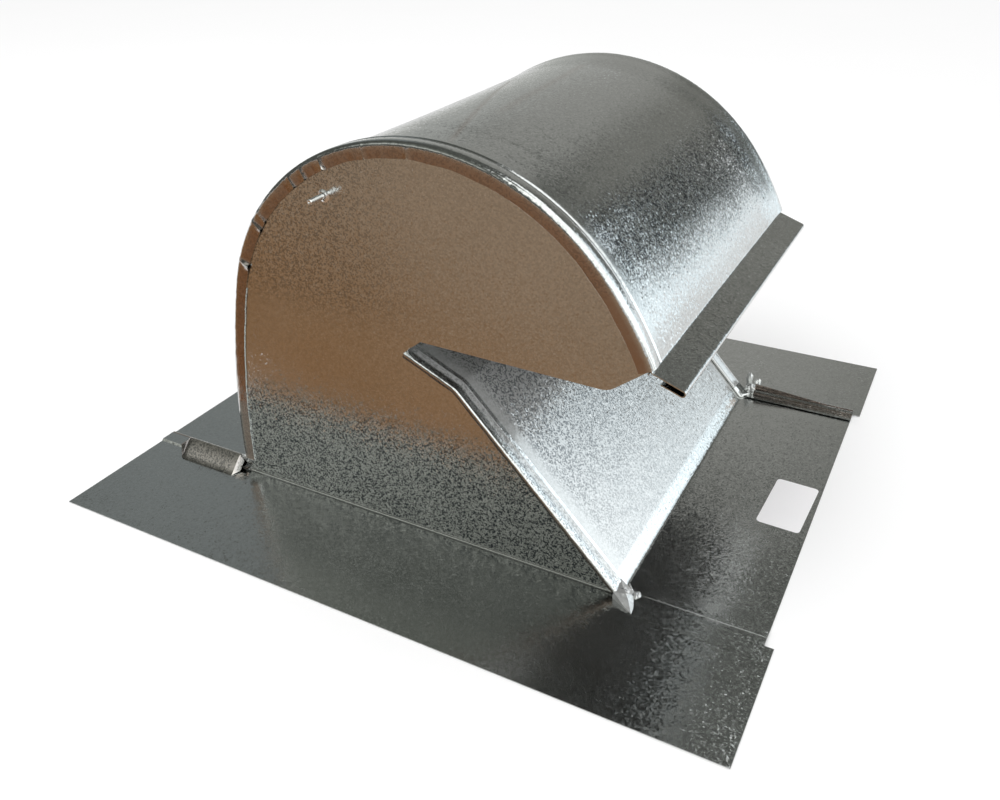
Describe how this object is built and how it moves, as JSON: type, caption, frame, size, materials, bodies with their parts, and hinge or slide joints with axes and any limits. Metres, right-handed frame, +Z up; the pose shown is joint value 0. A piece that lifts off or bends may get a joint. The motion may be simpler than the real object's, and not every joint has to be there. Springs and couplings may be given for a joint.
{
  "type": "gooseneck roof vent",
  "caption": "Galvanised sheet gooseneck roof vent with flat base flanges, curved hood, sloped throat, gravity damper and bird screen.",
  "frame": {"origin": "centre of the base's bounding box, on the roof surface", "axes": "+X the way the mouth faces and along the base's length, +Y to the far side, +Z up"},
  "size_m": [0.44, 0.419, 0.2403],
  "materials": {
    "galvanised_sheet": "fine zinc spangle, satin",
    "bright_rod": "drawn zinc-plated rod",
    "galvanised_wire": "dull hot-dipped zinc"
  },
  "bodies": {
    "casing": {"side_panel_near": "galvanised_sheet", "side_panel_far": "galvanised_sheet", "hood_wrapper": "galvanised_sheet", "throat_panel": "galvanised_sheet", "bird_screen": "galvanised_wire"},
    "damper": {"damper_flap": "galvanised_sheet", "damper_rod": "bright_rod"}
  },
  "joints": [
    {"name": "damper_swing", "type": "hinge", "parent": "casing", "child": "damper", "pos_m": [-0.04418, 0, 0.20614], "axis": [0, -1, 0], "range_deg": [0, 70]}
  ]
}
